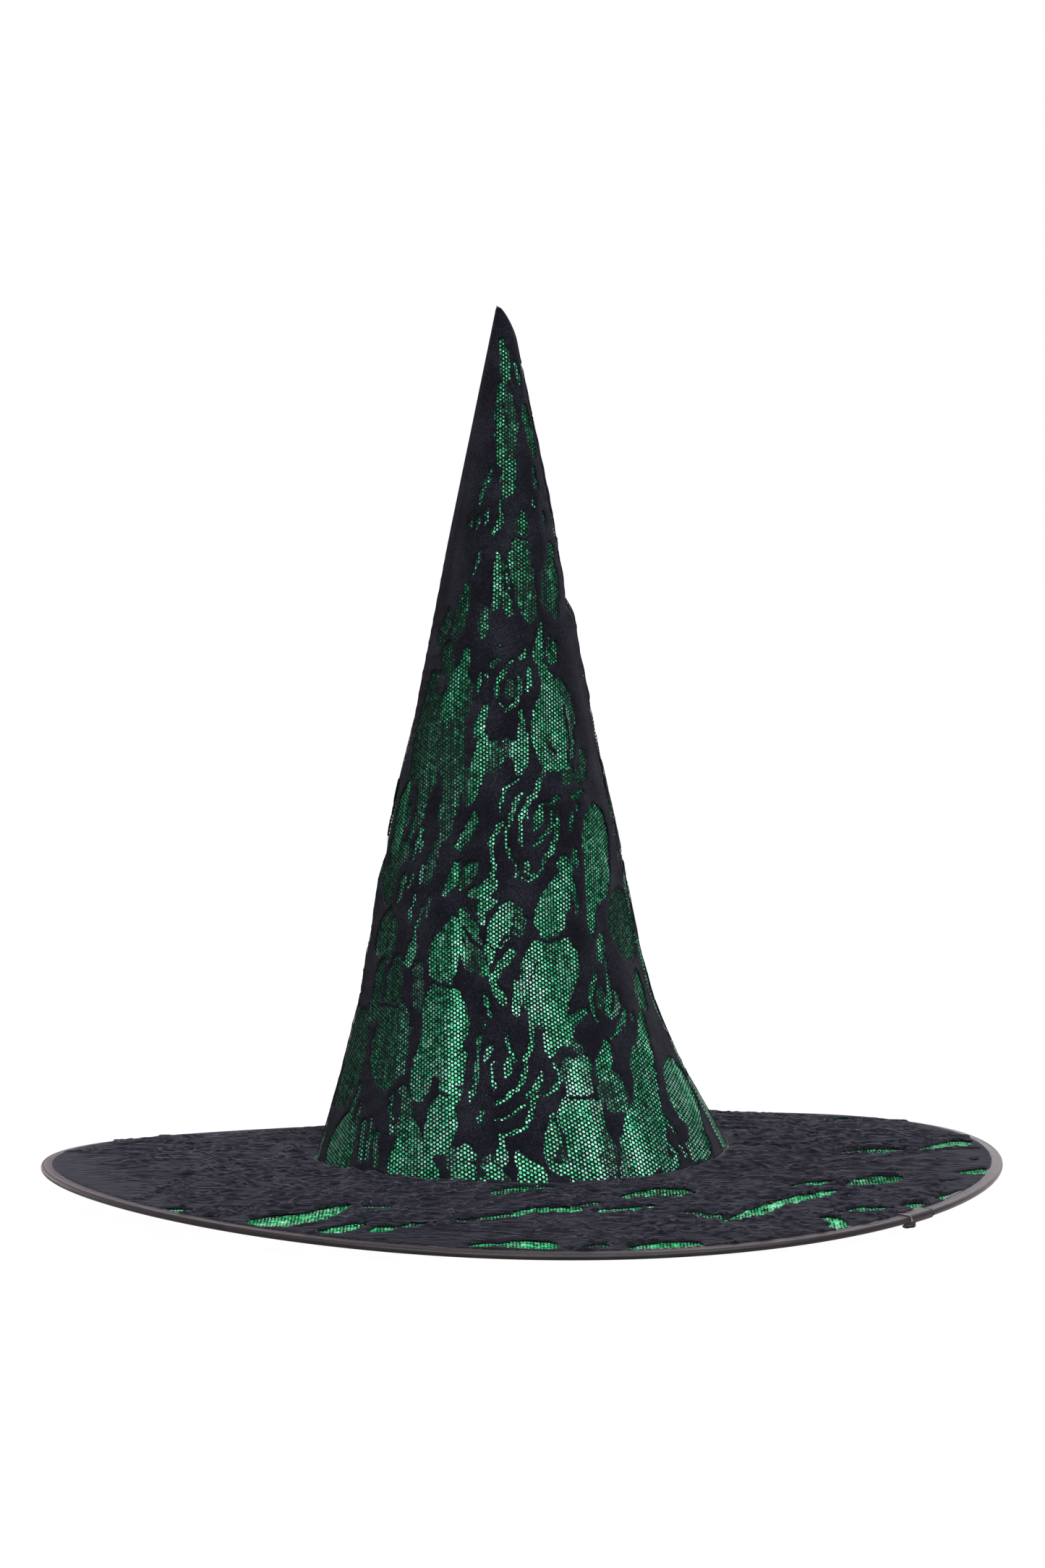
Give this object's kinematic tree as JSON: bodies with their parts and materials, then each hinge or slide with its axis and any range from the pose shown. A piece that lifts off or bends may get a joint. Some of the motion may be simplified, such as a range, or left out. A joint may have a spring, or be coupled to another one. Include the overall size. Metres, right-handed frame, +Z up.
{
  "type": "witch hat",
  "caption": "Pointed witch hat: lace over satin on a flared cone, sewn to a wide wired brim with a bound edge; it stands on its brim and fits an adult head.",
  "frame": {"origin": "on the floor under the middle of the brim", "axes": "+Z up towards the tip, -Y the front of the hat, +X the side of the crown that carries its side seam"},
  "size_m": [0.441, 0.441, 0.4055],
  "materials": {
    "black_lace": "matt floral lace with a fine net ground",
    "green_satin": "glossy emerald satin",
    "interlining": "stiff woven interlining",
    "black_satin": "plain satin lining",
    "binding_satin": "charcoal satin bias strip",
    "head_tape": "soft ribbed tape",
    "edge_wire": "drawn spring wire",
    "wire_joiner": "crimped sleeve",
    "black_thread": "polyester sewing thread"
  },
  "bodies": {
    "root": {"crown_lace": "black_lace", "brim_lace": "black_lace", "crown_satin": "green_satin", "brim_satin": "green_satin", "crown_interlining": "interlining", "brim_interlining": "interlining", "brim_underside": "black_satin", "crown_side_seam": "black_satin", "join_allowance": "black_satin", "brim_binding": "binding_satin", "binding_lap": "binding_satin", "binding_tail": "binding_satin", "head_tape": "head_tape", "brim_wire": "edge_wire", "wire_joiner": "wire_joiner", "crown_seam_thread": "black_thread", "tip_tack": "black_thread", "binding_thread": "black_thread", "join_thread": "black_thread", "head_tape_thread": "black_thread"}
  },
  "joints": []
}
